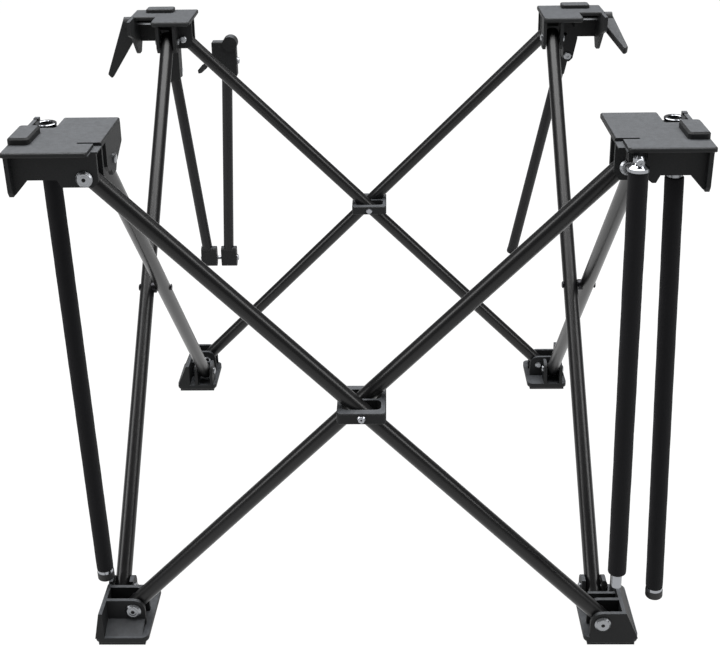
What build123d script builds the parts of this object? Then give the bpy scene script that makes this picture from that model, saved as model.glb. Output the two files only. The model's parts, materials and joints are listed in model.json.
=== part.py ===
"""A low pop-up scissor frame: four feet, four top corner brackets and four X's of tube.

Origin: middle of the frame on the floor. +X to the right, +Y to the back, +Z up, millimetres.
A place at a corner is given as (u, v, z): u is the distance out from the middle along X and
v the distance out along Y, so one description serves all four corners.
"""

import math
import os

from build123d import *

os.makedirs("parts", exist_ok=True)

# ---- driving dimensions -------------------------------------------------------------------
SPAN = 552.0  # pivot to pivot along each side, frame open
RISE = 552.0  # foot pivot to top pivot, frame open, so the X's cross at a right angle
FOOT_PIN_Z = 32.0
FRONT_PLANE = 317.0  # v of the middle of the front and back X's
SIDE_PLANE = 286.0  # u of the middle of the left and right X's
FRONT_STEP = 12.0  # each tube of a front or back X stands this far off the middle plane
SIDE_STEP = 11.0  # the same for a left or right X

TUBE_R = 9.5
TUBE_WALL = 1.2
TUBE_OVERHANG = 10.0  # tube past its end pivots
PIN_R = 3.0
RUNNING_FIT = 0.05  # radial clearance of a tube on its pin
EAR = 4.5  # thickness of a clevis ear
EAR_GAP = 0.6  # between a tube and the ear beside it

# ---- worked out from them -----------------------------------------------------------------
PIVOT = SPAN / 2
TOP_PIN_Z = FOOT_PIN_Z + RISE
HUB_Z = FOOT_PIN_Z + RISE / 2
EAR_IN = TUBE_R + EAR_GAP
EAR_OUT = EAR_IN + EAR
V_OUTER = FRONT_PLANE + FRONT_STEP
V_INNER = FRONT_PLANE - FRONT_STEP
U_OUTER = SIDE_PLANE + SIDE_STEP
U_INNER = SIDE_PLANE - SIDE_STEP

CORNERS = {"fl": (-1, -1), "fr": (1, -1), "bl": (-1, 1), "br": (1, 1)}
# v of the front or back tube and u of the side tube that each top bracket and foot holds
TOP_TUBES = {
    "fl": (V_OUTER, U_INNER),
    "fr": (V_INNER, U_OUTER),
    "bl": (V_INNER, U_OUTER),
    "br": (V_OUTER, U_INNER),
}
FOOT_TUBES = {
    "fl": (V_INNER, U_OUTER),
    "fr": (V_OUTER, U_INNER),
    "bl": (V_OUTER, U_INNER),
    "br": (V_INNER, U_OUTER),
}

# ---- top bracket ----
PLATE_TOP = 616.0
PLATE_T = 5.0
PLATE_U = (260.4, 356.0)
PLATE_V_FRONT = (230.0, 356.0)
PLATE_V_REAR = (262.0, 356.0)
WALL_V = (339.1, 343.6)  # outer wall across the corner
SIDE_WALL_U = (349.0, 353.5)
RAIL_Z = 592.0  # height of the pins that carry the side rails

# ---- foot ----
BASE_Z = (3.5, 12.0)
BASE_U = (256.0, 319.0)
BASE_V_FRONT = (246.0, 343.6)
BASE_V_REAR = (262.0, 343.6)
EAR_TOP = 46.0

# ---- hanging rails and arms ----
SLEEVE_R = 10.0
RAIL_R = 8.0
RAIL_LENGTH = 535.0  # hinge pin to the tip of the cap
ARM_R = 8.2
ARM_BL_Y = 358.5
ARM_BR_Y = 377.0
POLE_Y = -364.0


def save(builder, name):
    """Labels a finished piece and writes it."""
    builder.part.label = name
    export_step(builder.part, f"parts/{name}.step")


def xz_plane(y):
    """A sketch plane facing the front, whose own x and y are the frame's X and Z."""
    return Plane(origin=(0, y, 0), x_dir=(1, 0, 0), z_dir=(0, -1, 0))


def yz_plane(x):
    """A sketch plane facing sideways, whose own x and y are the frame's Y and Z."""
    return Plane(origin=(x, 0, 0), x_dir=(0, 1, 0), z_dir=(1, 0, 0))


def block(side, u, v, z, mode=Mode.ADD):
    """A box at a corner from its ranges in u, v and z."""
    sx, sy = side
    centre = (sx * (u[0] + u[1]) / 2, sy * (v[0] + v[1]) / 2, (z[0] + z[1]) / 2)
    with Locations(centre):
        Box(u[1] - u[0], v[1] - v[0], z[1] - z[0], mode=mode)


def cross_wall(side, outline, v, mode=Mode.ADD):
    """A wall across a corner: an outline of (u, z) points between two v."""
    sx, sy = side
    with BuildSketch(xz_plane(sy * (v[0] + v[1]) / 2)) as face:
        with BuildLine():
            Polyline(*[(sx * a, b) for a, b in outline], close=True)
        make_face()
    extrude(face.sketch, amount=(v[1] - v[0]) / 2, both=True, mode=mode)


def side_wall(side, outline, u, mode=Mode.ADD):
    """A wall along a corner: an outline of (v, z) points between two u."""
    sx, sy = side
    with BuildSketch(yz_plane(sx * (u[0] + u[1]) / 2)) as face:
        with BuildLine():
            Polyline(*[(sy * a, b) for a, b in outline], close=True)
        make_face()
    extrude(face.sketch, amount=(u[1] - u[0]) / 2, both=True, mode=mode)


def cross_bore(side, u, z, v, radius, mode=Mode.SUBTRACT):
    """A round bore or boss along Y between two v."""
    sx, sy = side
    with BuildSketch(xz_plane(sy * (v[0] + v[1]) / 2)) as ring:
        with Locations((sx * u, z)):
            Circle(radius)
    extrude(ring.sketch, amount=(v[1] - v[0]) / 2, both=True, mode=mode)


def side_bore(side, v, z, u, radius, mode=Mode.SUBTRACT):
    """A round bore or boss along X between two u."""
    sx, sy = side
    with BuildSketch(yz_plane(sx * (u[0] + u[1]) / 2)) as ring:
        with Locations((sy * v, z)):
            Circle(radius)
    extrude(ring.sketch, amount=(u[1] - u[0]) / 2, both=True, mode=mode)


def headed_pin(origin, direction, length, head_r, head_t, tail_r, tail_t, dimple_r):
    """A dimpled head at the origin facing the direction, a shank and a peened tail."""
    away = Vector(*direction)
    across = Vector(0, 0, 1)
    with BuildSketch(Plane(origin=origin, x_dir=across, z_dir=across.cross(away))) as section:
        with BuildLine():
            Polyline(
                (0, -length - tail_t),
                (tail_r * 0.7, -length - tail_t),
                (tail_r, -length - tail_t * 0.6),
                (tail_r, -length),
                (PIN_R, -length),
                (PIN_R, 0),
                (head_r, 0),
                (head_r, head_t * 0.4),
                (head_r * 0.8, head_t),
                (dimple_r, head_t),
                (dimple_r, head_t * 0.4),
                (0, head_t * 0.4),
                close=True,
            )
        make_face()
    revolve(section.sketch, axis=Axis(origin, direction))


# ---- feet ---------------------------------------------------------------------------------
EAR_ROUND = EAR_TOP - FOOT_PIN_Z


def rounded_ear(low, centre, top, bottom, far, slope):
    """Outline of a clevis ear: straight, round over the pin, flat, then down to the base."""
    r = top - FOOT_PIN_Z
    arc = [
        (centre - r * math.cos(a), FOOT_PIN_Z + r * math.sin(a))
        for a in [math.radians(10 * k) for k in range(10)]
    ]
    return [(low, bottom)] + arc + [(far, top), (far + slope, bottom)]


def make_foot(name):
    side = CORNERS[name]
    v_tube, u_tube = FOOT_TUBES[name]
    base_v = BASE_V_FRONT if side[1] < 0 else BASE_V_REAR
    deck = BASE_Z[1]
    with BuildPart() as foot:
        block(side, BASE_U, base_v, BASE_Z)
        fillet(foot.edges().filter_by(Axis.Z), 9)
        chamfer(foot.faces().sort_by(Axis.Z)[0].edges(), 2)
        # a thin sole set in from the edge of the base
        block(side, (BASE_U[0] + 4, BASE_U[1] - 4), (base_v[0] + 4, base_v[1] - 3), (0, BASE_Z[0] + 0.5))
        # the two ears of the front or back tube, carried out to the outer wall
        wall_top = 311.6 if u_tube == U_OUTER else 303.0
        ear = rounded_ear(PIVOT - EAR_ROUND, PIVOT, EAR_TOP, deck - 1, wall_top, 318 - wall_top)
        cross_wall(side, ear, (v_tube + EAR_IN, v_tube + EAR_OUT))
        cross_wall(side, ear, (v_tube - EAR_OUT, v_tube - EAR_IN))
        # outer wall, leaning in towards its top
        near_v = PIVOT - EAR_ROUND
        lean = [(318, deck - 1), (wall_top, EAR_TOP), (wall_top - EAR, EAR_TOP), (wall_top - EAR, deck - 1)]
        cross_wall(side, lean, (near_v if u_tube == U_INNER else PIVOT + 13, base_v[1]))
        # the two ears of the side tube
        flank = rounded_ear(near_v, PIVOT, EAR_TOP, deck - 1, PIVOT + 8, 6)
        for u0 in (u_tube - EAR_OUT, u_tube + EAR_IN):
            side_wall(side, flank, (u0, u0 + EAR))
        gusset = [(near_v + 2, deck - 1), (near_v + 2, 30), (base_v[0] + 4, deck - 1)]
        if side[1] < 0:
            side_wall(side, gusset, (u_tube - EAR_OUT, u_tube - EAR_IN))
            side_wall(side, gusset, (u_tube + EAR_IN, u_tube + EAR_OUT))
        # a low rib between the two clevises, and a ramp in front of a wall that stands back
        if v_tube == V_OUTER:
            rib = [(262, deck - 1), (262, 34), (266, 38), (wall_top - 2, 38), (wall_top, deck - 1)]
            cross_wall(side, rib, (PIVOT + 17, PIVOT + 21))
        else:
            ramp = [(v_tube + EAR_OUT - 1, deck - 1), (v_tube + EAR_OUT - 1, 21), (342, deck - 1)]
            side_wall(side, ramp, (263, 312))
        cross_bore(side, PIVOT, FOOT_PIN_Z, (v_tube - 20, v_tube + 20), PIN_R)
        side_bore(side, PIVOT, FOOT_PIN_Z, (u_tube - 20, u_tube + 20), PIN_R)
    save(foot, f"foot_{name}")

    make_pins(f"foot_{name}_pins", side, v_tube, u_tube, FOOT_PIN_Z)


def make_pins(name, side, v_tube, u_tube, z):
    """The headed pins of a foot or bracket: one along Y, one along X and those of what hangs there."""
    sx, sy = side
    length = 2 * EAR_OUT
    head_r = 9.4 if z == FOOT_PIN_Z else 8.7
    with BuildPart() as pins:
        headed_pin(
            (sx * PIVOT, sy * (v_tube + EAR_OUT), z), (0, sy, 0), length, head_r, 3.0, 5.5, 3.0, 1.8
        )
        headed_pin(
            (sx * (u_tube + EAR_OUT), sy * PIVOT, z), (sx, 0, 0), length, 6.5, 2.6, 5.5, 3.0, 1.5
        )
        if name in ("top_fl_pins", "top_fr_pins"):
            u, v, _ = RAIL_AT[name[4:6]]
            half = RAIL_R + 0.6 + RAIL_EAR
            rail_pin = (sx * (u + half), sy * v, RAIL_Z)
            headed_pin(rail_pin, (sx, 0, 0), 2 * half, 4.5, 1.8, 4.0, 1.5, 1.0)
        if name == "top_fr_pins":
            reach = -POLE_Y + 8.0
            headed_pin((POLE_X, -reach, POLE_PIN_Z), (0, -1, 0), reach - 335.0, 4.2, 1.6, 4.0, 1.5, 1.4)
        if name == "top_bl_pins":
            px, py, pz = ARM_BL_PIVOT
            headed_pin((px - 18.0, py, pz), (-1, 0, 0), 30.0, 6, 4, 5, 1.5, 2)
        if name == "top_br_pins":
            px, py, pz = ARM_BR_PIVOT
            headed_pin((px, WALL_V[0], pz), (0, -1, 0), py + 22.0 - WALL_V[0], 6, 3.5, 3.6, 1.5, 2)
    save(pins, name)


# ---- top brackets -------------------------------------------------------------------------
def ear_below(low, high, bottom, chamfered):
    """Outline of an ear that hangs from the plate."""
    top = PLATE_TOP - PLATE_T + 1
    return [(low, top), (low, bottom + 8), (low + 6, bottom), (chamfered, bottom), (high, bottom + 9), (high, top)]


def make_top(name):
    side = CORNERS[name]
    sx, sy = side
    front = sy < 0
    v_tube, u_tube = TOP_TUBES[name]
    plate_v = PLATE_V_FRONT if front else PLATE_V_REAR
    under = PLATE_TOP - PLATE_T
    notch_u = 322.0 if front else 318.0
    notch_v = 268.0 if front else 300.0
    with BuildPart() as top:
        block(side, PLATE_U, plate_v, (under, PLATE_TOP))
        block(side, (notch_u, 360), (plate_v[0] - 1, notch_v), (under - 1, PLATE_TOP + 1), Mode.SUBTRACT)
        fillet(top.edges().filter_by(Axis.Z), 3)
        chamfer(top.faces().sort_by(Axis.Z)[-1].edges(), 1.2)
        # outer cross wall: deep near the pivot, stepped up, then a slope to the hooked tip
        inner_end = PLATE_U[0] + 1.5 if v_tube == V_OUTER else 290.0
        wall = [(inner_end, under + 1), (inner_end, 580), (inner_end + 6, 575)]
        if front:
            wall += [(300, 575), (304, 583), (334, 583), (347, 568), (353.5, 568), (353.5, under + 1)]
        else:
            wall += [(300, 571), (350, 571), (353.5, 573), (353.5, under + 1)]
        cross_wall(side, wall, WALL_V)
        # outer side wall with its bottom slanting down to the tip
        reach = plate_v[0] + 1
        flank = [(reach, under + 5), (reach, 601), (300, 590), (332, 569), (337, 566), (346, 566)]
        if not front:
            flank = [(reach, under + 5), (reach, 596), (290, 586), (318, 558), (324, 555), (338, 555)]
        flank += [(350, 572), (353, under + 1), (notch_v + 1, under + 1), (notch_v - 1, under + 5)]
        side_wall(side, flank, SIDE_WALL_U)
        # clevis of the front or back tube, and of the side tube
        cross_ear = ear_below(262, 296, 570, 290)
        if v_tube == V_INNER:
            cross_wall(side, cross_ear, (v_tube + EAR_IN, v_tube + EAR_OUT))
        cross_wall(side, cross_ear, (v_tube - EAR_OUT, v_tube - EAR_IN))
        flank_ear = ear_below(262.5, 290, 568, 284)
        for u0 in (u_tube - EAR_OUT, u_tube + EAR_IN):
            side_wall(side, flank_ear, (u0, u0 + EAR))
        if front and u_tube == U_INNER:
            skirt = [(232, under + 1), (232, 590), (262, 576), (296, 576), (306, 584), (306, under + 1)]
            side_wall(side, skirt, (u_tube - EAR_OUT, u_tube - EAR_IN))
        # web that ties the two clevises together under the plate
        block(side, (u_tube - EAR_OUT, u_tube + EAR_OUT), (PIVOT + 15, PIVOT + 18), (598, under + 1))
        cross_bore(side, PIVOT, TOP_PIN_Z, (v_tube - 20, v_tube + 20), PIN_R)
        side_bore(side, PIVOT, TOP_PIN_Z, (u_tube - 20, u_tube + 20), PIN_R)
        if front:
            add_front_details(side, name, under)
        else:
            add_rear_details(side, name, under)
    save(top, f"top_{name}")
    make_pins(f"top_{name}_pins", side, v_tube, u_tube, TOP_PIN_Z)


RAIL_AT = {"fl": (325.0, 290.0, -13.0), "fr": (322.0, 325.0, 15.0)}  # u, v and drift of u to the tip
RING_AT = (337.0, 248.0)
RING_Z = 613.5
RAIL_EAR = 4.0
POLE_X = 277.0
POLE_PIN_Z = 606.0


def add_front_details(side, name, under):
    """Lug, groove, socket and rail hinge of a front bracket."""
    sx, sy = side
    # raised lug near the outer front corner
    with BuildSketch(Plane.XY.offset(PLATE_TOP - 0.5)) as lug_face:
        with Locations((sx * 344, sy * 306)):
            RectangleRounded(23, 48, 5)
    lug = extrude(lug_face.sketch, amount=8)
    chamfer(lug.faces().sort_by(Axis.Z)[-1].edges(), 2)
    # L-shaped groove round the inner front corner
    block(side, (259, 285), (322, 326), (PLATE_TOP - 3.5, PLATE_TOP + 1), Mode.SUBTRACT)
    block(side, (259, 268), (322, 357), (PLATE_TOP - 3.5, PLATE_TOP + 1), Mode.SUBTRACT)
    block(side, (259, 267), (343.6, 357), (under - 1, PLATE_TOP + 1), Mode.SUBTRACT)
    # sunk shelf and round socket in the corner notch
    block(side, (319, 353), (234, 271), (604, 608))
    block(side, (319, 323), (234, 271), (604, under + 1))
    block(side, (319, 353), (267, 271), (604, under + 1))
    with BuildSketch(Plane.XY.offset(RING_Z - 9.5)) as socket_face:
        with Locations((sx * RING_AT[0], sy * RING_AT[1])):
            Circle(11)
    extrude(socket_face.sketch, amount=9.5)
    with BuildSketch(Plane.XY.offset(606.5)) as bore_face:
        with Locations((sx * RING_AT[0], sy * RING_AT[1])):
            Circle(7)
    extrude(bore_face.sketch, amount=12, mode=Mode.SUBTRACT)
    block(side, (348, 353.5), (230, 237), (600, 617))
    # hinge ears of the side rail
    u, v, _ = RAIL_AT[name]
    ear = [(v - 11, under + 1), (v - 11, 586), (v - 5, 580), (v + 5, 580), (v + 11, 586), (v + 11, under + 1)]
    for u0 in (u - RAIL_R - 0.6 - RAIL_EAR, u + RAIL_R + 0.6):
        side_wall(side, ear, (u0, u0 + RAIL_EAR))
    side_bore(side, v, RAIL_Z, (u - 14, u + 14), PIN_R)
    if name == "fr":
        # lug under the lip that carries the pin of the front rail
        block(side, (POLE_X - 7, POLE_X + 7), (335, 349.0), (599, under + 1))
        cross_bore(side, POLE_X, POLE_PIN_Z, (330, 360), PIN_R)


LEVER_V = 330.0
LEVER_Z = 601.0
ARM_BL_PIVOT = (-305.0, ARM_BL_Y, 519.0)
ARM_BR_PIVOT = (308.0, ARM_BR_Y, 541.0)


def add_rear_details(side, name, under):
    """Lug, lever bearing and arm hanger of a rear bracket."""
    sx, sy = side
    with BuildSketch(Plane.XY.offset(PLATE_TOP - 0.5)) as lug_face:
        with Locations((sx * 316, sy * 341)):
            RectangleRounded(42, 24, 5)
    lug = extrude(lug_face.sketch, amount=6)
    chamfer(lug.faces().sort_by(Axis.Z)[-1].edges(), 1)
    block(side, (314, 318), (LEVER_V - 12, LEVER_V + 10), (588, under + 1))
    side_bore(side, LEVER_V, LEVER_Z, (312, 356), PIN_R + RUNNING_FIT)
    if name == "bl":
        u, v = -ARM_BL_PIVOT[0], ARM_BL_Y
        ear = [(WALL_V[1] - 1, under + 1), (WALL_V[1] - 1, 514), (v - 3, 509), (v + 5, 509)]
        ear += [(v + 8, 516), (v + 8, 552), (355, 577), (355, under + 1)]
        for u0 in (u - 12.0, u + 8.8):
            side_wall(side, ear, (u0, u0 + 3.2))
        block(side, (u - 12, u + 12), (WALL_V[0], WALL_V[1]), (509, 588))
        side_bore(side, v, ARM_BL_PIVOT[2], (u - 20, u + 20), PIN_R)
    else:
        u, v = ARM_BR_PIVOT[0], ARM_BR_Y
        tongue = [(299, 588), (301, 552), (301, 537), (305, 532), (311, 532), (316, 537), (322, 567), (323, 588)]
        cross_wall(side, tongue, (WALL_V[0], v - ARM_R - 1.0))
        cross_bore(side, u, ARM_BR_PIVOT[2], (330, 372), PIN_R)
        cross_bore(side, 303, 575, (330, 350), 3)


# ---- scissor tubes, hubs and rivets -------------------------------------------------------
def scissor_tube(name, start, end, pin_direction):
    """A round tube from pivot to pivot with a pin hole at each end and in the middle."""
    start = Vector(*start)
    end = Vector(*end)
    run = end - start
    along = run.normalized()
    middle = (start + end) * 0.5
    with BuildPart() as tube:
        with BuildSketch(Plane(origin=start - along * TUBE_OVERHANG, x_dir=pin_direction, z_dir=along)):
            Circle(TUBE_R)
            Circle(TUBE_R - TUBE_WALL, mode=Mode.SUBTRACT)
        extrude(amount=run.length + 2 * TUBE_OVERHANG)
        for point in (start, middle, end):
            with BuildSketch(Plane(origin=point, x_dir=along, z_dir=pin_direction)):
                Circle(PIN_R + RUNNING_FIT)
            extrude(amount=TUBE_R + 1, both=True, mode=Mode.SUBTRACT)
    save(tube, name)


def make_front_or_back(label, sy, outer_runs_down_right):
    """The two tubes, hub and rivet of the front or back X."""
    down = 1 if outer_runs_down_right else -1
    for letter, v, turn in (("outer", V_OUTER, down), ("inner", V_INNER, -down)):
        start = (-turn * PIVOT, sy * v, TOP_PIN_Z)
        end = (turn * PIVOT, sy * v, FOOT_PIN_Z)
        scissor_tube(f"{label}_tube_{letter}", start, end, (0, 1, 0))

    half = HUB_HALF_Y
    with BuildPart() as hub:
        with Locations((0, sy * FRONT_PLANE, HUB_Z)):
            Box(HUB_WIDTH, 2 * half, HUB_HEIGHT)
        fillet(hub.edges().filter_by(Axis.Z), 5)
        chamfer(hub.faces().filter_by(Axis.Z).edges(), 1)
        for v in (V_OUTER, V_INNER):
            with BuildSketch(Plane.XY.offset(HUB_Z - HUB_HEIGHT)):
                with Locations((0, sy * v)):
                    RectangleRounded(HUB_POCKET, 2 * (TUBE_R + 0.9), 6)
            extrude(amount=2 * HUB_HEIGHT, mode=Mode.SUBTRACT)
        with BuildSketch(xz_plane(sy * FRONT_PLANE)):
            with Locations((0, HUB_Z)):
                Circle(PIN_R)
        extrude(amount=half + 1, both=True, mode=Mode.SUBTRACT)
    save(hub, f"{label}_hub")

    with BuildPart() as rivet:
        headed_pin(
            (0, sy * (FRONT_PLANE + half), HUB_Z), (0, sy, 0), 2 * half, 4.6, 1.8, 4.6, 1.8, 2.0
        )
    save(rivet, f"{label}_hub_rivet")


HUB_WIDTH = 54.0
HUB_HALF_Y = 32.0
HUB_HEIGHT = 13.0
HUB_POCKET = 43.0


def make_side(label, sx):
    """The two tubes, rivet and saddle spacer of the left or right X."""
    for letter, u, start_y in (("outer", U_OUTER, 1), ("inner", U_INNER, -1)):
        start_y = start_y if sx < 0 else -start_y
        start = (sx * u, start_y * PIVOT, TOP_PIN_Z)
        end = (sx * u, -start_y * PIVOT, FOOT_PIN_Z)
        scissor_tube(f"{label}_tube_{letter}", start, end, (1, 0, 0))

    with BuildPart() as rivet:
        # the spacer fits round the outer tube and stops just short of the inner one
        lean = 1 if sx < 0 else -1
        side_bore((sx, 1), 0, HUB_Z, (U_INNER + TUBE_R + 0.3, U_OUTER), 7.5, Mode.ADD)
        with BuildSketch(
            Plane(origin=(sx * U_OUTER, -20 * lean, HUB_Z - 20), x_dir=(1, 0, 0), z_dir=(0, lean, 1))
        ):
            Circle(TUBE_R)
        extrude(amount=60, mode=Mode.SUBTRACT)
        side_bore((sx, 1), 0, HUB_Z, (U_INNER, U_OUTER + 5), PIN_R)
        headed_pin(
            (sx * (U_OUTER + TUBE_R), 0, HUB_Z),
            (sx, 0, 0),
            2 * (TUBE_R + SIDE_STEP) + 0.3,
            4.6,
            1.8,
            4.6,
            1.8,
            1.2,
        )
    save(rivet, f"{label}_rivet")


# ---- cam levers of the rear brackets --------------------------------------------------------
LEVER_TURN = {"bl": 0.0, "br": 66.0}  # hanging on the left, thrown forward on the right
LEVER_TIP = {"bl": 402.0, "br": 384.0}  # how far out the tip of each stands


def make_lever(name):
    """A tapered lever on a hub, and the steel rod that it turns."""
    side = CORNERS[name]
    sx, sy = side
    pivot_axis = Axis((0, sy * LEVER_V, LEVER_Z), (1, 0, 0))
    swing = -LEVER_TURN[name]
    with BuildPart() as lever:
        tip = LEVER_TIP[name]
        outline = [(354.5, 592), (354.5, 609), (371, 609), (tip, 522), (tip - 6, 515), (357, 576)]
        cross_wall(side, outline, (LEVER_V - 5.5, LEVER_V + 5.5))
        fillet(lever.edges().filter_by(Axis.Y), 2.5)
        chamfer(lever.faces().filter_by(Axis.Y).edges(), 1.2)
        side_bore(side, LEVER_V, LEVER_Z, (354.5, 371), 9.5, Mode.ADD)
        side_bore(side, LEVER_V, LEVER_Z, (354.0, 364), PIN_R)
    lever.part = lever.part.rotate(pivot_axis, swing)
    save(lever, f"lever_{name}")

    with BuildPart() as rod:
        side_bore(side, LEVER_V, LEVER_Z, (310, 364), PIN_R, Mode.ADD)
    save(rod, f"lever_{name}_rod")


# ---- hanging side rails ---------------------------------------------------------------------
def make_rail(name):
    """A side rail: steel tube in a foam sleeve, with a bright collar and a rubber cap."""
    sx, sy = CORNERS[name]
    u, v, drift = RAIL_AT[name]
    hinge = Vector(sx * u, sy * v, RAIL_Z)
    down = Vector(sx * drift, 0, -RAIL_LENGTH).normalized()

    def across(distance):
        return Plane(origin=hinge + down * distance, x_dir=(0, 1, 0), z_dir=down)

    tube_end = RAIL_LENGTH - 8
    sleeve_end = RAIL_LENGTH - 14
    with BuildPart() as tube:
        with BuildSketch(across(-9)):
            Circle(RAIL_R)
            Circle(RAIL_R - TUBE_WALL, mode=Mode.SUBTRACT)
        extrude(amount=tube_end + 9)
        with BuildSketch(Plane(origin=hinge, x_dir=(0, 1, 0), z_dir=(1, 0, 0))):
            Circle(PIN_R + RUNNING_FIT)
        extrude(amount=RAIL_R + 2, both=True, mode=Mode.SUBTRACT)
    save(tube, f"rail_{name}_tube")

    with BuildPart() as sleeve:
        with BuildSketch(across(16)):
            Circle(SLEEVE_R)
            Circle(RAIL_R, mode=Mode.SUBTRACT)
        extrude(amount=sleeve_end - 16)
        chamfer(sleeve.faces().sort_by(Axis.Z)[0].edges(), 0.8)
    save(sleeve, f"rail_{name}_sleeve")

    with BuildPart() as collar:
        with BuildSketch(across(sleeve_end)):
            Circle(SLEEVE_R - 0.4)
            Circle(RAIL_R, mode=Mode.SUBTRACT)
        extrude(amount=4)
    save(collar, f"rail_{name}_collar")

    with BuildPart() as cap:
        with BuildSketch(across(sleeve_end + 4)):
            Circle(SLEEVE_R)
        extrude(amount=10)
        fillet(cap.faces().sort_by(Axis.Z)[0].edges(), 2.5)
        with BuildSketch(across(sleeve_end + 4)):
            Circle(RAIL_R)
        extrude(amount=2, mode=Mode.SUBTRACT)
    save(cap, f"rail_{name}_cap")


# ---- front rail (pole) of the front right bracket -------------------------------------------
POLE_TIP_Z = 101.0
POLE_SLEEVE_END_Z = 120.0
POLE_DRIFT = 7.0
FERRULE = [(0, -5), (4, -5), (5.6, -3), (5.6, 1.5), (7, 4), (11, 7), (11, 10.5), (0, 10.5)]
POLE_START = 10.5


def make_pole():
    """The front rail: bright ferrule with an eye, sleeved tube and a plunger in its end."""
    hinge = Vector(POLE_X, POLE_Y, POLE_PIN_Z)
    length = POLE_PIN_Z - POLE_TIP_Z
    down = Vector(POLE_DRIFT, 0, -length).normalized()

    def across(distance):
        return Plane(origin=hinge + down * distance, x_dir=(0, 1, 0), z_dir=down)

    sleeve_end = POLE_PIN_Z - POLE_SLEEVE_END_Z
    with BuildPart() as ferrule:
        with BuildSketch(Plane(origin=hinge, x_dir=(0, 1, 0), z_dir=Vector(0, 1, 0).cross(down))):
            with BuildLine():
                Polyline(*FERRULE, close=True)
            make_face()
        revolve(axis=Axis(hinge, down))
        with BuildSketch(xz_plane(POLE_Y)):
            with Locations((POLE_X, POLE_PIN_Z)):
                Circle(PIN_R + RUNNING_FIT)
        extrude(amount=12, both=True, mode=Mode.SUBTRACT)
    save(ferrule, "pole_fr_ferrule")

    with BuildPart() as tube:
        with BuildSketch(across(POLE_START)):
            Circle(RAIL_R)
            Circle(RAIL_R - TUBE_WALL, mode=Mode.SUBTRACT)
        extrude(amount=sleeve_end - POLE_START - 2)
        # bush that guides the plunger
        with BuildSketch(across(sleeve_end - 22)):
            Circle(RAIL_R - TUBE_WALL)
            Circle(5.6 + RUNNING_FIT, mode=Mode.SUBTRACT)
        extrude(amount=18)
    save(tube, "pole_fr_tube")

    with BuildPart() as sleeve:
        with BuildSketch(across(POLE_START)):
            Circle(SLEEVE_R + 0.3)
            Circle(RAIL_R, mode=Mode.SUBTRACT)
        extrude(amount=sleeve_end - POLE_START)
        fillet(sleeve.faces().sort_by(Axis.Z)[0].outer_wire().edges(), 2)
    save(sleeve, "pole_fr_sleeve")

    with BuildPart() as plunger:
        with BuildSketch(across(sleeve_end - 45)):
            Circle(5.6)
        extrude(amount=length - sleeve_end + 45)
        chamfer(plunger.faces().sort_by(Axis.Z)[0].edges(), 1)
    save(plunger, "pole_fr_plunger")


# ---- folding arm of the rear left bracket ---------------------------------------------------
ELBOW_Z = 202.0
ELBOW_U = (-269.0, -236.0)  # X of the upper and lower tube at the elbow
ARM_BL_TOP = (-221.5, 522.0)
CLAMP_BOLT_Z = 534.0


def arm_tube(name, start, end, extra=None):
    """A thin tube between two points in a plane parallel to X-Z."""
    start = Vector(*start)
    end = Vector(*end)
    along = (end - start).normalized()
    with BuildPart() as tube:
        with BuildSketch(Plane(origin=start, x_dir=(0, 1, 0), z_dir=along)):
            Circle(ARM_R)
            Circle(ARM_R - TUBE_WALL, mode=Mode.SUBTRACT)
        extrude(amount=(end - start).length)
    save(tube, name)


def knuckle(x, z, width, height, bore_z, bore_r, socket, heading):
    """A moulded end block added to the open part, bored along X for a bolt and along its tube."""
    with BuildPart(mode=Mode.PRIVATE) as piece:
        with Locations((x, ARM_BL_Y, z)):
            Box(width, 17, height)
        fillet(piece.edges().filter_by(Axis.X), 7.5)
        side_bore((1, 1), ARM_BL_Y, bore_z, (x - width, x + width), bore_r)
        with BuildSketch(Plane(origin=socket, x_dir=(0, 1, 0), z_dir=heading)) as bore:
            Circle(ARM_R)
        extrude(bore.sketch, amount=20, mode=Mode.SUBTRACT)
    add(piece.part)


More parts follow.
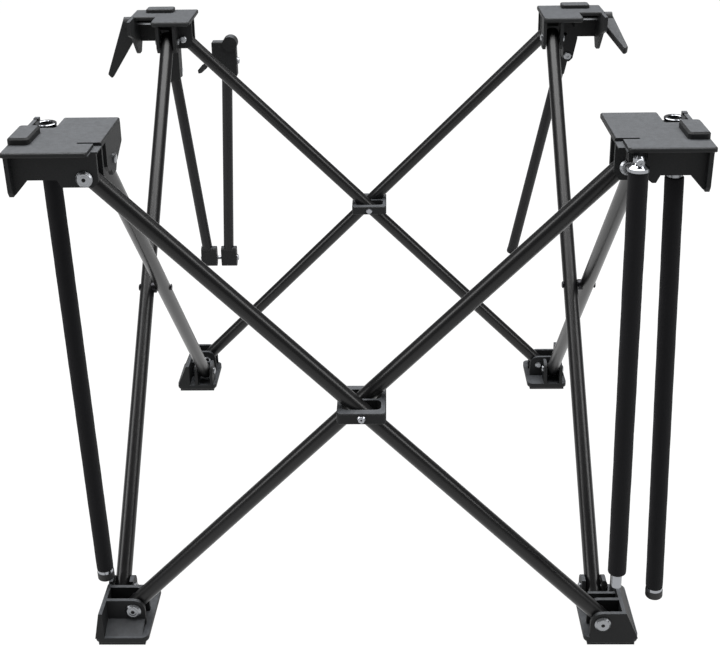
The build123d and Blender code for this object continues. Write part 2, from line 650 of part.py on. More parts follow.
def make_arm_bl():
    """Two tubes that fold flat against each other at an elbow, with a clamp at the free end."""
    px, py, pz = ARM_BL_PIVOT
    bolt_z = ELBOW_Z - 3
    slope = (ELBOW_U[0] - px) / (pz - ELBOW_Z)
    upper_top = (px + slope * 13, py, pz - 13)
    upper_end = (px + slope * (pz - ELBOW_Z - 12), py, ELBOW_Z + 12)
    lean = (ARM_BL_TOP[0] - ELBOW_U[1]) / (ARM_BL_TOP[1] - ELBOW_Z)
    lower_end = (ELBOW_U[1] + lean * 12, py, ELBOW_Z + 12)
    lower_top = (ELBOW_U[1] + lean * (CLAMP_FOOT_Z - ELBOW_Z + 6), py, CLAMP_FOOT_Z + 6)

    with BuildPart() as ends:
        knuckle(px, pz - 4, 17.0, 30, pz, PIN_R + RUNNING_FIT, upper_top, (slope, 0, -1))
        knuckle(ELBOW_U[0] + 1, ELBOW_Z, 25, 34, bolt_z, PIN_R, upper_end, (-slope, 0, 1))
    save(ends, "arm_bl_upper_ends")
    arm_tube("arm_bl_upper", upper_top, upper_end)
    with BuildPart() as end:
        knuckle(ELBOW_U[1] + 1, ELBOW_Z, 25, 34, bolt_z, PIN_R + RUNNING_FIT, lower_end, (lean, 0, 1))
    save(end, "arm_bl_lower_end")
    arm_tube("arm_bl_lower", lower_end, lower_top)
    with BuildPart() as clamp:
        with BuildSketch(xz_plane(py)):
            with BuildLine():
                Polyline(*CLAMP_OUTLINE, close=True)
            make_face()
        extrude(amount=8.5, both=True)
        fillet(clamp.edges().filter_by(Axis.Y), 2)
        chamfer(clamp.faces().filter_by(Axis.Y).edges(), 1)
        with BuildSketch(xz_plane(py)):
            with Locations((-214.5, 562)):
                Circle(11.5)
        extrude(amount=10, both=True)
        with BuildSketch(yz_plane(-225)):
            with Locations((py, CLAMP_BOLT_Z)):
                Circle(PIN_R)
        extrude(amount=40, both=True, mode=Mode.SUBTRACT)
        with BuildSketch(Plane(origin=lower_top, x_dir=(0, 1, 0), z_dir=(-lean, 0, -1))):
            Circle(ARM_R)
        extrude(amount=20, mode=Mode.SUBTRACT)
    save(clamp, "arm_bl_clamp")

    bolt_x = ELBOW_U[1] + 1 + 12.8
    with BuildPart() as bolt:
        headed_pin((bolt_x, py, bolt_z), (1, 0, 0), bolt_x - ELBOW_U[0] + 11.5, 5, 3, 4.5, 2, 1.5)
    save(bolt, "arm_bl_elbow_bolt")
    with BuildPart() as bolt:
        headed_pin((-205.0, py, CLAMP_BOLT_Z), (1, 0, 0), 52, 5.5, 3.5, 3.6, 1.5, 1.8)
    save(bolt, "arm_bl_clamp_bolt")
    wing_nut("arm_bl_wing_nut", (-246.5, py, CLAMP_BOLT_Z), (-1, 0, 0), (0, 0, 1))


CLAMP_FOOT_Z = 510.0
CLAMP_OUTLINE = [
    (-232, 510),
    (-205, 510),
    (-205, 560),
    (-208, 570),
    (-216, 571),
    (-222, 565),
    (-243, 565),
    (-243, 528),
    (-232, 522),
]


WING_OUTLINE = [
    (-4, 1),
    (-11, 6),
    (-19, 15),
    (-20, 20),
    (-15, 21),
    (-7, 14),
    (-3, 8),
    (3, 8),
    (7, 14),
    (15, 21),
    (20, 20),
    (19, 15),
    (11, 6),
    (4, 1),
]


def wing_nut(name, base, direction, wing_direction):
    """A wing nut: a waisted hub and two rounded wings, standing off the base point."""
    away = Vector(*direction)
    wing = Vector(*wing_direction)
    origin = Vector(*base)
    with BuildPart() as nut:
        with BuildSketch(Plane(origin=origin, x_dir=wing, z_dir=away)):
            Circle(6.5)
        extrude(amount=9)
        chamfer(nut.edges(), 1)
        face = Plane(origin=origin, x_dir=wing, z_dir=wing.cross(away))
        with BuildSketch(face):
            with BuildLine():
                Polyline(*WING_OUTLINE, close=True)
            make_face()
        extrude(amount=2.6, both=True)
        with BuildSketch(Plane(origin=origin, x_dir=wing, z_dir=away)):
            Circle(3.05)
        extrude(amount=20, mode=Mode.SUBTRACT)
    save(nut, name)


# ---- single arm of the rear right bracket ---------------------------------------------------
ARM_BR_TIP = (235.0, 196.0)


def make_arm_br():
    """One tube that leans in behind the frame, held by a bolt and wing nut."""
    px, py, pz = ARM_BR_PIVOT
    direction = Vector(ARM_BR_TIP[0] - px, 0, ARM_BR_TIP[1] - pz)
    length = direction.length
    down = direction.normalized()
    hinge = Vector(px, py, pz)
    start = hinge + down * 36
    end = hinge + down * (length - 8)
    with BuildPart() as eye:
        with BuildSketch(Plane(origin=hinge, x_dir=(0, 1, 0), z_dir=down)):
            RectangleRounded(16, 17, 3)
        extrude(amount=36)
        with BuildSketch(xz_plane(py)):
            with Locations((px, pz)):
                Circle(8.4)
        extrude(amount=8, both=True)
        with BuildSketch(xz_plane(py)):
            with Locations((px, pz)):
                Circle(PIN_R + RUNNING_FIT)
        extrude(amount=12, both=True, mode=Mode.SUBTRACT)
        with BuildSketch(Plane(origin=end, x_dir=(0, 1, 0), z_dir=down)):
            Circle(ARM_R + 0.3)
        extrude(amount=8)
        fillet(eye.faces().sort_by(Axis.Z)[0].edges(), 3)
    save(eye, "arm_br_ends")
    arm_tube("arm_br_tube", tuple(start), tuple(end))
    wing_nut("arm_br_wing_nut", (px, py + 9.6, pz), (0, 1, 0), (0.7, 0, -0.7))


# ---- make everything ------------------------------------------------------------------------
for corner in CORNERS:
    make_foot(corner)
    make_top(corner)

make_front_or_back("front", -1, True)
make_front_or_back("back", 1, False)
make_side("left", -1)
make_side("right", 1)

for corner in ("bl", "br"):
    make_lever(corner)

for corner in ("fl", "fr"):
    make_rail(corner)
    ring_x = CORNERS[corner][0] * RING_AT[0]
    ring_y = CORNERS[corner][1] * RING_AT[1]
    with BuildPart() as socket_ring:
        with BuildSketch(Plane.XY.offset(RING_Z)):
            with Locations((ring_x, ring_y)):
                Circle(11.5)
                Circle(7.2, mode=Mode.SUBTRACT)
        extrude(amount=2.2)
        chamfer(socket_ring.faces().sort_by(Axis.Z)[-1].edges(), 0.6)
    save(socket_ring, f"top_{corner}_ring")

make_pole()
make_arm_bl()
make_arm_br()
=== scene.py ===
# %% [markdown]
# # A low pop-up scissor frame
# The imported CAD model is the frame: every tube, bracket, foot, hub, rail and arm is already in its
# place, in metres, with +Z up. This script gives those pieces their real finishes, adds the small
# moulded and turned pieces that CAD leaves out, and lights them on a light table.

import json
import math

import bmesh
import bpy
import numpy as np
from mathutils import Matrix, Vector


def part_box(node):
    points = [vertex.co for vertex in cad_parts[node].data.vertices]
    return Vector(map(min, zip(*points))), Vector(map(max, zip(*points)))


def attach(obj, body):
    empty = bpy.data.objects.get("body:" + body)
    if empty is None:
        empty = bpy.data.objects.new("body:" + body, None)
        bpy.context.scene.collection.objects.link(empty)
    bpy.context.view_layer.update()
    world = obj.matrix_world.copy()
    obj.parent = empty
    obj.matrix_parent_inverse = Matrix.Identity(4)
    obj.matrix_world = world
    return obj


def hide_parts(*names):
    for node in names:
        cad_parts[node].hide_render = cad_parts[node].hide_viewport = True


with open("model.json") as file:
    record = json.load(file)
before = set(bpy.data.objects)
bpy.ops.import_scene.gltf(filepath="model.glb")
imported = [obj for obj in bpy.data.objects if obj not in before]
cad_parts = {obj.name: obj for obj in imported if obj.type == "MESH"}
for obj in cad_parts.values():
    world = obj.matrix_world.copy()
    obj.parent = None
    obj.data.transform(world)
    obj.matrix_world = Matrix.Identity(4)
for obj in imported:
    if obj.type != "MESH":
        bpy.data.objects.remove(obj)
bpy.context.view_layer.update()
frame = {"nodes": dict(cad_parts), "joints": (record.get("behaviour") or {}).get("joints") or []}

# %% [markdown]
# ## Where the pivots are
# The frame is four crossed pairs of tube. The joints in the record say where each tube turns, so
# the plugs, washers and rivet faces take their places from them. `half` is half the span between
# pivots, `low` and `high` are the heights of the foot and bracket pivots, and each tube is a line
# between two of them.

# %% Pivots and tubes
joints = {j["name"]: j for j in frame["joints"]}
half = abs(joints["fold"]["pos_m"][0])
low = joints["fold"]["pos_m"][2]
high = joints["top_front_left_pivot"]["pos_m"][2]
tube_r = (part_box("left_tube_outer")[1][0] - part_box("left_tube_outer")[0][0]) / 2
front_out = abs(joints["front_cross"]["pos_m"][1])
front_in = abs(joints["fold"]["pos_m"][1])
side_out = abs(joints["left_lift"]["pos_m"][0])
side_in = abs(joints["right_lift"]["pos_m"][0])

tubes = {
    "front_outer": ((-half, -front_out, high), (half, -front_out, low)),
    "front_inner": ((half, -front_in, high), (-half, -front_in, low)),
    "back_outer": ((half, front_out, high), (-half, front_out, low)),
    "back_inner": ((-half, front_in, high), (half, front_in, low)),
    "left_outer": ((-side_out, half, high), (-side_out, -half, low)),
    "left_inner": ((-side_in, -half, high), (-side_in, half, low)),
    "right_outer": ((side_out, -half, high), (side_out, half, low)),
    "right_inner": ((side_in, half, high), (side_in, -half, low)),
}
print("span", 2 * half, "rise", round(high - low, 4), "tube radius", round(tube_r, 5))

# %% [markdown]
# ## Materials
# A colour is written as the hex value seen on a screen, so `linear` turns it into the linear light
# that a shader needs. `add_node` adds one node with its options, constants and wires. `shader`
# starts a Principled surface and sets its constants. `grain` adds the fine relief of a moulded,
# sprayed or foamed surface: a noise in Object coordinates, which are metres here, so its scale is
# one over the size of a grain.

# %% Material helpers
MM = 0.001


def linear(hex_colour):
    """Linear RGBA of an sRGB hex colour.

    A channel c is c / 12.92 up to 0.04045, and ((c + 0.055) / 1.055) ** 2.4 above.
    """
    parts = [int(hex_colour[i : i + 2], 16) / 255 for i in (1, 3, 5)]
    lin = [c / 12.92 if c <= 0.04045 else ((c + 0.055) / 1.055) ** 2.4 for c in parts]
    return (*lin, 1.0)


def add_node(material, kind, options=None, wires=None, **values):
    """Adds a shader node.

    options are the node's own choices, wires go from outputs to its inputs, and values are its
    constant inputs by name, with _ for a space.
    """
    node = material.node_tree.nodes.new(kind)
    for option, choice in (options or {}).items():
        setattr(node, option, choice)
    for key, value in values.items():
        node.inputs[key.replace("_", " ")].default_value = value
    for key, output in (wires or {}).items():
        material.node_tree.links.new(output, node.inputs[key])
    return node


def shader(name, colour, roughness, metallic=0.0, ior=1.5, sheen=0.0, gloss=0.5):
    """A Principled material with constant values."""
    material = bpy.data.materials.new(name)
    material.use_nodes = True
    surface = material.node_tree.nodes["Principled BSDF"]
    constants = {
        "Base Color": linear(colour),
        "Roughness": roughness,
        "Metallic": metallic,
        "IOR": ior,
        "Sheen Weight": sheen,
        "Specular IOR Level": gloss,
    }
    for key, value in constants.items():
        surface.inputs[key].default_value = value
    return material


def grain(material, size_mm, height_mm, detail=2.0, vary=0.0):
    """Relief of grains size_mm across and height_mm high.

    vary also spreads the roughness by that much to each side, over the same grains.
    """
    links = material.node_tree.links
    surface = material.node_tree.nodes["Principled BSDF"]
    place = add_node(material, "ShaderNodeTexCoord")
    noise = add_node(
        material,
        "ShaderNodeTexNoise",
        wires={"Vector": place.outputs["Object"]},
        Scale=1 / (size_mm * MM),
        Detail=detail,
    )
    bump = add_node(
        material,
        "ShaderNodeBump",
        wires={"Height": noise.outputs["Fac"]},
        Strength=1.0,
        Distance=height_mm * MM,
    )
    links.new(bump.outputs["Normal"], surface.inputs["Normal"])
    if vary:
        base = surface.inputs["Roughness"].default_value
        spread = add_node(
            material,
            "ShaderNodeMapRange",
            wires={"Value": noise.outputs["Fac"]},
            To_Min=base - vary,
            To_Max=base + vary,
        )
        links.new(spread.outputs["Result"], surface.inputs["Roughness"])
    return material


print("black as linear light:", [round(c, 4) for c in linear("#101011")])

# %% [markdown]
# Each material is named for its real finish, and the comment above it says how the surface was made
# and what that gives the eye. The function below mixes a paler colour in by the upward part of the
# object-space normal: a painted highlight that makes the faces that look up lighter, as light from
# above would.

# %% The finishes
def painted_top_light(material, pale):
    """Painted top light: a pale colour goes in as the normal's z goes from 0.75 to 1, uneven over 6
    mm patches.
    """
    surface = material.node_tree.nodes["Principled BSDF"]
    place = add_node(material, "ShaderNodeTexCoord")
    split = add_node(
        material, "ShaderNodeSeparateXYZ", wires={"Vector": place.outputs["Normal"]}
    )
    upward = add_node(
        material,
        "ShaderNodeMapRange",
        wires={"Value": split.outputs["Z"]},
        From_Min=0.75,
        From_Max=1.0,
        To_Max=0.85,
    )
    patches = add_node(
        material,
        "ShaderNodeTexNoise",
        wires={"Vector": place.outputs["Object"]},
        Scale=1 / (6 * MM),
        Detail=4.0,
    )
    evened = add_node(
        material,
        "ShaderNodeMapRange",
        wires={"Value": patches.outputs["Fac"]},
        From_Min=0.3,
        From_Max=0.7,
        To_Min=0.75,
        To_Max=1.1,
    )
    amount = add_node(
        material,
        "ShaderNodeMath",
        options={"operation": "MULTIPLY"},
        wires={0: upward.outputs["Result"], 1: evened.outputs["Result"]},
    )
    mix = add_node(
        material,
        "ShaderNodeMix",
        options={"data_type": "RGBA"},
        wires={"Factor": amount.outputs["Value"]},
    )
    # The second colour is painted light: a highlight laid on the faces that look up.
    unlit_colour, painted_highlight_colour = [socket for socket in mix.inputs if socket.type == "RGBA"]
    unlit_colour.default_value = surface.inputs["Base Color"].default_value
    painted_highlight_colour.default_value = linear(pale)
    mixed = [socket for socket in mix.outputs if socket.type == "RGBA"][0]
    material.node_tree.links.new(mixed, surface.inputs["Base Color"])
    return material


# Powder sprayed on the drawn steel tube and baked: it flows almost flat, so the highlight is a
# sharp bright line with a very faint waviness.
gloss_coat = shader("gloss_black_powder_coat", "#0a0a0b", 0.3, gloss=0.34)
grain(gloss_coat, 1.6, 0.004)
# A thinner, drier coat of powder on the arms: the same black with a wide, dull highlight.
satin_coat = shader("satin_black_powder_coat", "#101012", 0.46, gloss=0.3)
grain(satin_coat, 1.0, 0.008)
# Glass-filled nylon moulded against a spark-eroded tool: an even, fine, matt pebble. Its faces that
# look up are painted paler, a painted highlight that stands in for the light from above.
nylon = shader("textured_black_nylon", "#151617", 0.6, ior=1.53, gloss=0.2)
grain(nylon, 1.2, 0.14, detail=3.0, vary=0.06)
painted_top_light(nylon, "#414346")
# The same nylon from a polished tool: plugs, washers and wing nuts have a soft shine.
smooth_nylon = shader("smooth_black_nylon", "#131416", 0.38, ior=1.53, gloss=0.38)
grain(smooth_nylon, 1.4, 0.01)
# Foam blown and extruded over a mandrel: tiny burst cells, no highlight, a slightly fuzzy edge.
foam = shader("closed_cell_foam", "#141416", 0.9, ior=1.45, sheen=0.05, gloss=0.12)
grain(foam, 0.9, 0.16, detail=4.0)
# Moulded rubber caps: smooth and black with a soft, low shine.
rubber = shader("black_rubber", "#101011", 0.55, ior=1.52, gloss=0.4)
grain(rubber, 1.2, 0.02)
# Barrel-plated zinc on headed steel pins: bright, with the small dents of tumbling.
zinc = shader("bright_zinc_plate", "#8f9194", 0.27, metallic=1.0)
grain(zinc, 0.9, 0.03, detail=3.0, vary=0.07)
# Nickel and chrome on the turned rail fittings and split rings: near a mirror.
chrome = shader("polished_chrome", "#96989c", 0.12, metallic=1.0)
grain(chrome, 6.0, 0.012, detail=1.0)
# Steel boiled in a blackening bath: a dark metal with a dull sheen.
black_oxide = shader("black_oxide_steel", "#2b2b2d", 0.32, metallic=1.0)
grain(black_oxide, 0.8, 0.006)
# Bare drawn steel inside the foam: grey, with a soft, faintly clouded shine.
plain_steel = shader("plain_steel", "#8e9093", 0.35, metallic=1.0)
grain(plain_steel, 0.6, 0.006)
# The bottom of a punched dimple: painted shade, a near-black colour for the shadow that fills it.
painted_dimple_shade = shader("painted_shade_in_dimple", "#0c0c0d", 0.7, gloss=0.2)
grain(painted_dimple_shade, 0.5, 0.01)
print(len(bpy.data.materials), "materials made")

# %% [markdown]
# The CAD nodes keep their shapes, so each one only takes the finish that its real piece has.
# The names say what each node is, and the first ending that fits decides. A node that fits none is
# a moulding.

# %% Finish of every CAD node
FINISH_BY_ENDING = [
    ("hub_rivet", chrome),
    ("left_rivet", black_oxide),
    ("right_rivet", black_oxide),
    ("_pins", zinc),
    ("_ring", chrome),
    ("_collar", chrome),
    ("_ferrule", chrome),
    ("_plunger", chrome),
    ("_rod", zinc),
    ("_bolt", zinc),
    ("_sleeve", foam),
    ("_cap", rubber),
    ("rail_fl_tube", plain_steel),
    ("rail_fr_tube", plain_steel),
    ("pole_fr_tube", plain_steel),
    ("tube_outer", gloss_coat),
    ("tube_inner", gloss_coat),
    ("arm_bl_upper", satin_coat),
    ("arm_bl_lower", satin_coat),
    ("arm_br_tube", satin_coat),
    ("wing_nut", smooth_nylon),
]


def paint(obj, material):
    """Puts one material in all of an object's slots."""
    if not obj.material_slots:
        obj.data.materials.append(material)
    for material_slot in obj.material_slots:
        material_slot.material = material


for node_name, node in frame["nodes"].items():
    chosen = [finish for ending, finish in FINISH_BY_ENDING if node_name.endswith(ending)]
    paint(node, chosen[0] if chosen else nylon)
print(len(frame["nodes"]), "CAD nodes finished")

# %% [markdown]
# ## Turned surfaces
# Most of the small pieces are turned: a profile of distance along an axis and radius, spun round
# that axis. `turned` makes the whole grid at once with numpy, rings by the profile and columns by
# the angle, and `grid_mesh` joins neighbours into quads. A ring of no radius becomes one pole.

# %% Helpers for turned pieces
def grid_mesh(name, points, material):
    """A closed mesh from a (rings, columns, 3) array.

    The columns join into a loop, and the points of a ring that has shrunk to nothing are merged.
    """
    rings, columns = points.shape[:2]
    index = np.arange(rings * columns).reshape(rings, columns)
    ahead = np.roll(index, -1, axis=1)
    quads = np.stack([index[:-1], ahead[:-1], ahead[1:], index[1:]], axis=-1).reshape(-1, 4)
    mesh = bpy.data.meshes.new(name)
    mesh.vertices.add(rings * columns)
    mesh.vertices.foreach_set("co", points.reshape(-1).astype(np.float32))
    mesh.loops.add(quads.size)
    mesh.loops.foreach_set("vertex_index", quads.reshape(-1))
    mesh.polygons.add(len(quads))
    mesh.polygons.foreach_set("loop_start", np.arange(0, quads.size, 4))
    mesh.update(calc_edges=True)
    shell = bmesh.new()
    shell.from_mesh(mesh)
    bmesh.ops.remove_doubles(shell, verts=shell.verts, dist=1e-7)
    bmesh.ops.recalc_face_normals(shell, faces=shell.faces)
    shell.to_mesh(mesh)
    shell.free()
    mesh.polygons.foreach_set("use_smooth", np.ones(len(mesh.polygons), bool))
    mesh.materials.append(material)
    obj = bpy.data.objects.new(name, mesh)
    bpy.context.collection.objects.link(obj)
    return obj


def across(direction):
    """The unit vector of a direction, and two more at right angles to it and to each other."""
    d = np.array(direction, float)
    d = d / np.linalg.norm(d)
    helper = np.eye(3)[np.argmin(np.abs(d))]
    first = np.cross(d, helper)
    first = first / np.linalg.norm(first)
    return d, first, np.cross(d, first)


def turned(
    name, origin, direction, profile, material, body, columns=48, relief=None
):
    """A turned piece: origin + s * d + (r + relief(s, a)) * (cos a * e1 + sin a * e2).

    The profile is a list of (s, r) in millimetres, in order along the outline, and a is the angle.
    """
    d, e1, e2 = across(direction)
    s, r = (np.array(profile, float) * MM).T
    angle = np.linspace(0, 2 * np.pi, columns, endpoint=False)
    radius = r[:, None] + np.zeros(columns)
    if relief is not None:
        radius = radius + relief(s[:, None], angle[None, :])
    ring = np.cos(angle)[:, None] * e1 + np.sin(angle)[:, None] * e2
    points = np.array(origin, float) + s[:, None, None] * d + radius[..., None] * ring
    obj = grid_mesh(name, points, material)
    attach(obj, body)
    return obj


print("across the up direction:", [v.round(2).tolist() for v in across((0, 0, 1))[1:]])

# %% [markdown]
# ## Plugs of the tubes
# Every tube end is closed by a domed plastic plug: a stem inside the bore, a flange on the cut end
# and a low dome. A plug rides on its tube.

# %% Tube plugs
OVERHANG = 10.0  # mm of tube past its end pivot
PLUG = [(-6, 0), (-6, 8.2), (0, 8.2), (0.1, 9.2), (1.2, 9.2), (2.0, 8.3), (2.4, 6.0), (2.5, 0)]
for tube_name, ends in tubes.items():
    for end, other, which in ((ends[0], ends[1], "top"), (ends[1], ends[0], "foot")):
        outward = Vector(end) - Vector(other)
        profile = [(OVERHANG + along, radius) for along, radius in PLUG]
        label = f"plug_{tube_name}_{which}"
        turned(label, end, outward, profile, smooth_nylon, tube_name)
print(2 * len(tubes), "plugs")

# %% [markdown]
# ## Washers of the clevises
# Each washer is a thin ring, turned about the pin. It stands in the 0.6 mm between the tube and the
# ear, and it rides on the foot or bracket, so it doesn't turn with the tube.

# %% Washers
WASHER = [
    (-0.24, 3.2),
    (-0.24, 6.6),
    (-0.1, 7.0),
    (0.1, 7.0),
    (0.24, 6.6),
    (0.24, 3.2),
    (-0.24, 3.2),
]
corner_bodies = {
    ("top", -1, -1): "top_front_left",
    ("top", 1, -1): "top_front_right",
    ("top", -1, 1): "top_back_left",
    ("top", 1, 1): "top_back_right",
    ("foot", -1, -1): "foot_front_left",
    ("foot", 1, -1): "foot_front_right",
    ("foot", -1, 1): "foot_back_left",
    ("foot", 1, 1): "foot_back_right",
}
washer_gap = tube_r + 0.3 * MM  # the middle of the gap beside the tube


def holder_of(end):
    """The level of a tube's end, and the body of the foot or bracket that holds it."""
    level_name = "top" if end[2] > half else "foot"
    corner = (level_name, int(math.copysign(1, end[0])), int(math.copysign(1, end[1])))
    return level_name, corner_bodies[corner]


for tube_name, ends in tubes.items():
    pin = (0, 1, 0) if tube_name.startswith(("front", "back")) else (1, 0, 0)
    for end in ends:
        level_name, holder = holder_of(end)
        for sign, side_name in ((-1, "a"), (1, "b")):
            centre = Vector(end) + sign * washer_gap * Vector(pin)
            label = f"washer_{tube_name}_{level_name}_{side_name}"
            turned(label, centre, pin, WASHER, smooth_nylon, holder, columns=32)
print(4 * len(tubes), "washers")

# %% [markdown]
# ## Faces of the rivets
# A rivet head is not a flat disc: it is domed, its rim is rolled over, and the punch leaves a ring
# and a small dimple in the middle, whose shade is painted as a near-black disc. Each face is a
# turned cap that sits just over the CAD head, which gives the bright heads their rings of
# reflection.

# %% Rivet faces
CAP_RISE = 0.5  # mm from the head's flat to the top of the cap's dome
CAP_SHARE = 0.8  # the cap's radius as a share of the head's


def rivet_face(name, centre, direction, radius, body, material):
    """A domed cap with a rolled rim, a punched ring and a dimple with painted shade, of a radius in
    mm.
    """
    rim = radius + 0.05
    profile = [(-1.6, 0), (-1.6, rim), (0, rim), (CAP_RISE * 0.6, radius - 0.5)]
    profile += [(CAP_RISE * 0.8, radius * 0.8), (CAP_RISE * 0.45, radius * 0.72)]
    profile += [(CAP_RISE * 0.5, radius * 0.64), (CAP_RISE, radius * 0.5)]
    profile += [(CAP_RISE, radius * 0.28), (CAP_RISE * 0.2, radius * 0.18), (0.05, 0)]
    turned(f"{name}_face", centre, direction, profile, material, body)
    # The dimple's shade is painted: a flat near-black disc over the dip in the cap.
    top = CAP_RISE + 0.02
    dimple = [(0.06, 0), (0.06, radius * 0.17), (top, radius * 0.3), (top, 0)]
    label = f"{name}_dimple"
    turned(label, centre, direction, dimple, painted_dimple_shade, body, columns=24)


EAR_OUT = 14.6 * MM  # from the tube's middle to the outer face of the ear
FRONT_HEAD_T, SIDE_HEAD_T = 3.0, 2.6  # mm that a head stands off its ear
TOP_HEAD_R, FOOT_HEAD_R, SIDE_HEAD_R = 8.7, 9.4, 6.5  # mm
for tube_name, ends in tubes.items():
    along_y = tube_name.startswith(("front", "back"))
    for end in ends:
        level_name, holder = holder_of(end)
        if along_y:
            out = Vector((0, math.copysign(1, end[1]), 0))
            head_t = FRONT_HEAD_T
            head_r = TOP_HEAD_R if level_name == "top" else FOOT_HEAD_R
        else:
            out = Vector((math.copysign(1, end[0]), 0, 0))
            head_t = SIDE_HEAD_T
            head_r = SIDE_HEAD_R
        centre = Vector(end) + out * (EAR_OUT + head_t * MM)
        label = f"rivet_{tube_name}_{level_name}"
        rivet_face(label, centre, out, head_r * CAP_SHARE, holder, zinc)

HUB_PLANE = 0.317  # the middle plane of a front or back pair of tubes
HUB_HALF = 0.032  # from there to the outer face of the hub
HUB_HEAD_T = 0.0018
HUB_CAP_R = 3.7  # mm
hub_z = (low + high) / 2
for label, sy in (("front", -1), ("back", 1)):
    face = (0, sy * (HUB_PLANE + HUB_HALF + HUB_HEAD_T), hub_z)
    rivet_face(f"{label}_hub_rivet", face, (0, sy, 0), HUB_CAP_R, f"{label}_hub", chrome)
print(2 * len(tubes) + 2, "rivet faces")

# %% [markdown]
# ## Foam sleeves
# Closed-cell foam is never quite round or straight: it is pushed over the tube by hand and keeps
# small swellings, and its cut end rolls slightly inwards. The CAD sleeve is a plain cylinder, so a
# turned sleeve stands for it, with a relief of a few slow waves that stay under its true radius.

# %% Sleeves
SLEEVE_BORE = 8.05  # mm, just over the tube inside
RAIL_SLEEVE = (16, 521, 10.0)  # mm: start and end down the rail, and radius
POLE_SLEEVE = (10.5, 486, 10.3)


def swelling(seed):
    """Relief of three slow waves along and round the sleeve, between 0 and -0.3 mm."""
    phase = np.random.default_rng(seed).uniform(0, 2 * np.pi, 6)

    def relief(s, a):
        waves = np.sin(s / (90 * MM) * 2 * np.pi + phase[0]) * np.cos(a + phase[1])
        waves = waves + 0.6 * np.sin(s / (37 * MM) * 2 * np.pi + 2 * a + phase[2])
        ripple = np.sin(s / (11 * MM) * 2 * np.pi + phase[3]) * np.cos(3 * a + phase[4])
        waves = waves + 0.4 * ripple
        return (waves / 2 - 1) * 0.15 * MM

    return relief


def sleeve(node_name, body, hinge_name, end_node, extent, seed):
    """A foam sleeve along the line from a hinge to the middle of the piece at the far end."""
    s0, s1, radius = extent
    hinge = Vector(joints[hinge_name]["pos_m"])
    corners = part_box(end_node)
    end = (Vector(corners[0]) + Vector(corners[1])) / 2
    mid = np.linspace(s0 + 2, s1 - 2.5, 180)
    profile = [(s0, SLEEVE_BORE), (s0, radius - 1.0), (s0 + 0.8, radius - 0.2)]
    profile += [(s, radius) for s in mid]
    profile += [(s1 - 1.2, radius - 0.2), (s1 - 0.3, radius - 1.1), (s1, radius - 1.9)]
    profile += [(s1, SLEEVE_BORE), (s0, SLEEVE_BORE)]
    label = f"foam_{node_name}"
    obj = turned(label, hinge, end - hinge, profile, foam, body, 56, swelling(seed))
    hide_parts(node_name)


sleeve("rail_fl_sleeve", "rail_left", "rail_left_swing", "rail_fl_cap", RAIL_SLEEVE, 3)
sleeve("rail_fr_sleeve", "rail_right", "rail_right_swing", "rail_fr_cap", RAIL_SLEEVE, 5)
sleeve("pole_fr_sleeve", "front_rail", "front_rail_swing", "pole_fr_plunger", POLE_SLEEVE, 8)
print("3 foam sleeves")

# %% [markdown]
# ## Rounded lips of the bracket plates
# The plate of each bracket ends in a rounded lip. The lip is a half-round profile carried along the
# plate's edge: a point is the edge's place, plus cos t outwards times the reach and sin t upwards
# times the half height. It shrinks to a point at both ends by the square root of the distance.

# %% Lips
def lip(name, start, end, half_height, reach, body):
    """A half-round strip facing front: place + reach * cos t * out + half_height * sin t * up."""
    t = np.linspace(-np.pi / 2, np.pi / 2, 14)
    across_lip = reach * np.cos(t)[:, None] * np.array([0, -1.0, 0])
    across_lip = across_lip + half_height * np.sin(t)[:, None] * np.array([0, 0, 1.0])
    start, end = np.array(start, float), np.array(end, float)
    length = np.linalg.norm(end - start)
    far = length / MM
    u = np.array([0, 1, 3, *np.linspace(6, far - 6, 20), far - 3, far - 1, far])
    taper = np.sqrt(np.clip(np.minimum(u, far - u) / 3, 0, 1))
    line = start + (u * MM / length)[:, None] * (end - start)
    points = line[:, None, :] + taper[:, None, None] * across_lip[None, :, :]
    obj = grid_mesh(name, points, nylon)
    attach(obj, body)
    return obj


# The x of both ends, the y and z of the edge, half the height of the lip and its reach, in metres.
FRONT_LIP = ((0.268, 0.3555), -0.3559, 0.6135, 0.0026, 0.0022)
REAR_LIP = ((0.2615, 0.3175), 0.2622, 0.6125, 0.0036, 0.003)
LIPS = [
    ("fl", -1, "top_front_left", FRONT_LIP),
    ("fr", 1, "top_front_right", FRONT_LIP),
    ("bl", -1, "top_back_left", REAR_LIP),
    ("br", 1, "top_back_right", REAR_LIP),
]
for label, sx, body, (reach_x, y, z, half_height, reach) in LIPS:
    x0, x1 = sorted([sx * reach_x[0], sx * reach_x[1]])
    lip(f"lip_{label}", (x0, y, z), (x1, y, z), half_height, reach, body)
print(len(LIPS), "lips")

# %% [markdown]
# ## The studio
# The frame stands on a light table: a wide sheet of opal acrylic lit evenly from below. The ground
# stays white right up to the horizon, and the object has almost no shadow.

# %% Studio floor
bpy.ops.mesh.primitive_plane_add(size=60, location=(0, 0, 0))
floor = bpy.context.object
floor.name = "studio_floor"
# Opal acrylic lit from below: it gives light of its own and takes little of the lamps'.
floor_paint = shader("lit_opal_acrylic", "#404040", 0.8, gloss=0.0)
floor_surface = floor_paint.node_tree.nodes["Principled BSDF"]
floor_surface.inputs["Emission Color"].default_value = linear("#ffffff")
floor_surface.inputs["Emission Strength"].default_value = 0.97
paint(floor, floor_paint)
print("floor", [round(side, 1) for side in floor.dimensions[:2]], "m")

# %% [markdown]
# The camera stands in front, a little above the brackets, and looks down at the hubs. Its turn is
# built from a forward, a right and an up direction, so there are no angles to convert.

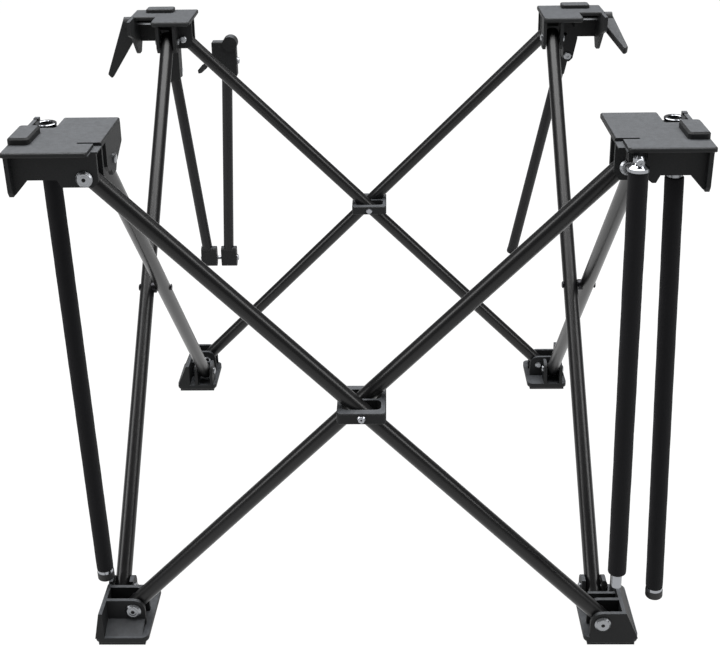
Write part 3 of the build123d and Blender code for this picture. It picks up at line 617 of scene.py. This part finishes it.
# %% Camera
EYE = (0.0329, -1.4932, 0.9854)
YAW, PITCH, ROLL = -0.0214, 0.357, -0.0152
ahead = (math.sin(YAW) * math.cos(PITCH), math.cos(YAW) * math.cos(PITCH), -math.sin(PITCH))
forward = Vector(ahead)
level = Vector((math.cos(YAW), -math.sin(YAW), 0))
upward = level.cross(forward)
right = math.cos(ROLL) * level + math.sin(ROLL) * upward
upward = math.cos(ROLL) * upward - math.sin(ROLL) * level
camera = bpy.data.objects.new("camera", bpy.data.cameras.new("camera"))
bpy.context.collection.objects.link(camera)
turn = Matrix((right, upward, -forward)).transposed().to_4x4()
camera.matrix_world = Matrix.Translation(EYE) @ turn
camera.data.sensor_width = 36
camera.data.lens = 60.51
camera.data.shift_x = -0.0080
camera.data.shift_y = -0.1680
camera.data.dof.use_dof = False
bpy.context.scene.camera = camera
print("camera looks along", [round(c, 3) for c in forward])

# %% [markdown]
# A large soft lamp overhead draws the long highlights on the glossy tubes and lifts the plates. A
# narrow softbox on each side picks out the edges of the side tubes. The world adds a dim fill.

# %% Lights
def softbox(name, place, aim, width, height, power):
    """A rectangular area light that faces the aim point."""
    lamp = bpy.data.lights.new(name, "AREA")
    lamp.shape = "RECTANGLE"
    lamp.size, lamp.size_y, lamp.energy = width, height, power
    obj = bpy.data.objects.new(name, lamp)
    obj.location = place
    obj.rotation_euler = (Vector(aim) - Vector(place)).to_track_quat("-Z", "Y").to_euler()
    bpy.context.collection.objects.link(obj)
    return obj


middle = (0, 0, 0.3)
softbox("key_left", (-2.2, -0.9, 1.7), middle, 0.7, 2.0, 30)
softbox("key_right", (2.2, -0.9, 1.7), middle, 0.7, 2.0, 30)
softbox("overhead", (0, 0.5, 2.9), middle, 3.4, 3.0, 240)
world = bpy.data.worlds.new("white_studio")
bpy.context.scene.world = world
world.use_nodes = True
world.node_tree.nodes["Background"].inputs["Color"].default_value = (1, 1, 1, 1)
world.node_tree.nodes["Background"].inputs["Strength"].default_value = 0.2
bpy.context.scene.view_settings.view_transform = "Standard"
print(len(bpy.data.lights), "lamps")
